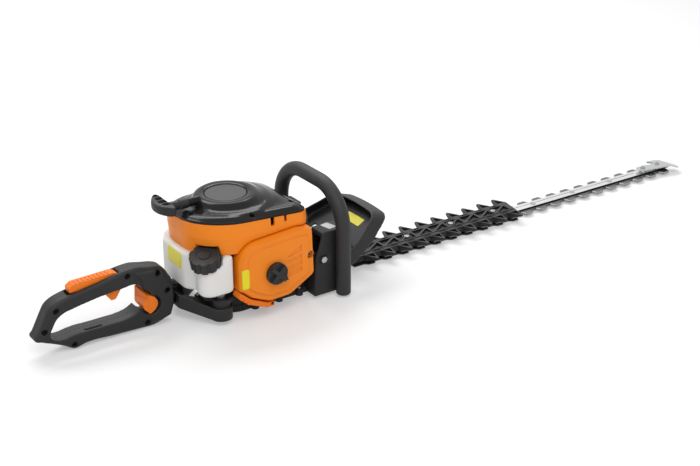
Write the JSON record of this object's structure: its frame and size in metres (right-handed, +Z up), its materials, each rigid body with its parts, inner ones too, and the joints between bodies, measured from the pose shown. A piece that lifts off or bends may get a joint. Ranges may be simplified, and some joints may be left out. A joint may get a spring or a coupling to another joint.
{
  "type": "hedge trimmer",
  "caption": "Petrol hedge trimmer with a double-sided reciprocating blade, comb guard, hooped front handle, hand guard, recoil starter and a swivelling rear grip.",
  "frame": {"origin": "on the flat underside of the gear case, on the crank axis", "axes": "+X along the blade towards its tip, +Z up along the crank axis, +Y to the user's left"},
  "size_m": [1.3304, 0.212, 0.1986],
  "materials": {
    "orange_plastic": "satin",
    "lever_orange": "satin",
    "cover_plastic": "satin",
    "badge_plastic": "satin",
    "dark_plastic": "fine grain",
    "grip_plastic": "matt",
    "comb_plastic": "satin",
    "reel_plastic": "matt",
    "tank_plastic": "translucent satin",
    "foam": "open-cell foam",
    "rubber": "matt",
    "bright_steel": "ground",
    "zinc_steel": "zinc plated",
    "gear_steel": "oiled",
    "cast_alloy": "as cast",
    "sheet_steel": "heat-dulled",
    "plug_ceramic": "glazed"
  },
  "bodies": {
    "trimmer": {"gearcase_lower": "cast_alloy", "gearcase_upper": "cast_alloy", "gearcase_screws": "zinc_steel", "crankcase": "cast_alloy", "cylinder": "cast_alloy", "spark_plug": "plug_ceramic", "ignition_coil": "plug_ceramic", "muffler": "sheet_steel", "muffler_cover": "sheet_steel", "carburettor": "cast_alloy", "filter_base": "dark_plastic", "filter_element": "foam", "filter_cover": "orange_plastic", "filter_screw": "zinc_steel", "fuel_tank": "tank_plastic", "engine_shroud": "orange_plastic", "starter_cover": "cover_plastic", "badge_disc": "badge_plastic", "cover_screws": "zinc_steel", "cylinder_cover": "dark_plastic", "hand_guard": "dark_plastic", "guard_bolts": "zinc_steel", "front_handle": "grip_plastic", "guide_bar": "bright_steel", "comb_upper": "comb_plastic", "comb_lower": "comb_plastic", "tip_guard": "bright_steel", "tip_screws": "zinc_steel", "blade_bolts": "zinc_steel", "handle_bracket": "dark_plastic", "av_mounts": "rubber", "bracket_bolts": "zinc_steel", "swivel_shaft": "gear_steel"},
    "rear_handle": {"handle_right": "dark_plastic", "handle_left": "dark_plastic", "handle_screws": "zinc_steel"},
    "trigger": {"throttle_trigger": "lever_orange"},
    "lock_lever": {"throttle_lock": "lever_orange"},
    "swivel_lock": {"rotation_lock": "lever_orange"},
    "pull_grip": {"starter_grip": "grip_plastic"},
    "rope_reel": {"recoil_reel": "reel_plastic"},
    "tank_cap": {"fuel_cap": "grip_plastic"},
    "knob": {"filter_knob": "grip_plastic"},
    "choke": {"choke_lever": "lever_orange"},
    "crank": {"crankshaft": "gear_steel", "flywheel": "cast_alloy", "clutch_shoes": "gear_steel"},
    "drum": {"clutch_drum": "gear_steel"},
    "cam": {"cam_gear": "gear_steel"},
    "top_blade": {"upper_blade": "bright_steel"},
    "bottom_blade": {"lower_blade": "bright_steel"}
  },
  "joints": [
    {"name": "handle_swivel", "type": "hinge", "parent": "trimmer", "child": "rear_handle", "pos_m": [-0.1006, 0, 0.036], "axis": [1, 0, 0], "range_deg": [-90, 90]},
    {"name": "trigger_pull", "type": "hinge", "parent": "rear_handle", "child": "trigger", "pos_m": [-0.186, 0, 0.087], "axis": [0, 1, 0], "range_deg": [0, 10], "stiffness_Nm_per_rad": 0.3, "springref_deg": -5.73},
    {"name": "lock_press", "type": "hinge", "parent": "rear_handle", "child": "lock_lever", "pos_m": [-0.199, 0, 0.095], "axis": [0, -1, 0], "range_deg": [0, 6], "stiffness_Nm_per_rad": 0.3, "springref_deg": -5.73},
    {"name": "swivel_release", "type": "slide", "parent": "rear_handle", "child": "swivel_lock", "axis": [-1, 0, 0], "range_m": [0, 0.005], "stiffness_N_per_m": 400, "springref_m": -0.004},
    {"name": "starter_pull", "type": "slide", "parent": "trimmer", "child": "pull_grip", "axis": [-1, 0, 0], "range_m": [0, 0.45], "stiffness_N_per_m": 20, "springref_m": -0.4},
    {"name": "reel_turn", "type": "hinge", "parent": "trimmer", "child": "rope_reel", "pos_m": [0, 0, 0.155], "axis": [0, 0, 1], "range_deg": [-20, 900]},
    {"name": "cap_turn", "type": "hinge", "parent": "trimmer", "child": "tank_cap", "pos_m": [-0.074, -0.0645, 0.11], "axis": [-0.25, -0.21, 0.9452], "range_deg": [0, 90]},
    {"name": "knob_turn", "type": "hinge", "parent": "trimmer", "child": "knob", "pos_m": [0.0285, -0.1, 0.0775], "axis": [0, -1, 0], "range_deg": [0, 90]},
    {"name": "choke_move", "type": "hinge", "parent": "trimmer", "child": "choke", "pos_m": [0.024, -0.083, 0.0243], "axis": [0, -1, 0], "range_deg": [0, 14]},
    {"name": "crank_spin", "type": "hinge", "parent": "trimmer", "child": "crank", "pos_m": [0, 0, 0.1], "axis": [0, 0, 1], "continuous": true},
    {"name": "drum_spin", "type": "hinge", "parent": "trimmer", "child": "drum", "pos_m": [0, 0, 0.03], "axis": [0, 0, 1], "continuous": true},
    {"name": "cam_spin", "type": "hinge", "parent": "trimmer", "child": "cam", "pos_m": [0.039, 0, 0.02], "axis": [0, 0, 1], "continuous": true},
    {"name": "top_blade_stroke", "type": "slide", "parent": "trimmer", "child": "top_blade", "axis": [1, 0, 0], "range_m": [-0.00875, 0.00875]},
    {"name": "bottom_blade_stroke", "type": "slide", "parent": "trimmer", "child": "bottom_blade", "axis": [1, 0, 0], "range_m": [-0.00875, 0.00875]}
  ],
  "couplings": [
    {"joint": "reel_turn", "follows": "starter_pull", "rad_per_m": 33.333},
    {"joint": "drum_spin", "follows": "cam_spin", "ratio": -3.3333},
    {"joint": "bottom_blade_stroke", "follows": "top_blade_stroke", "ratio": -1}
  ]
}
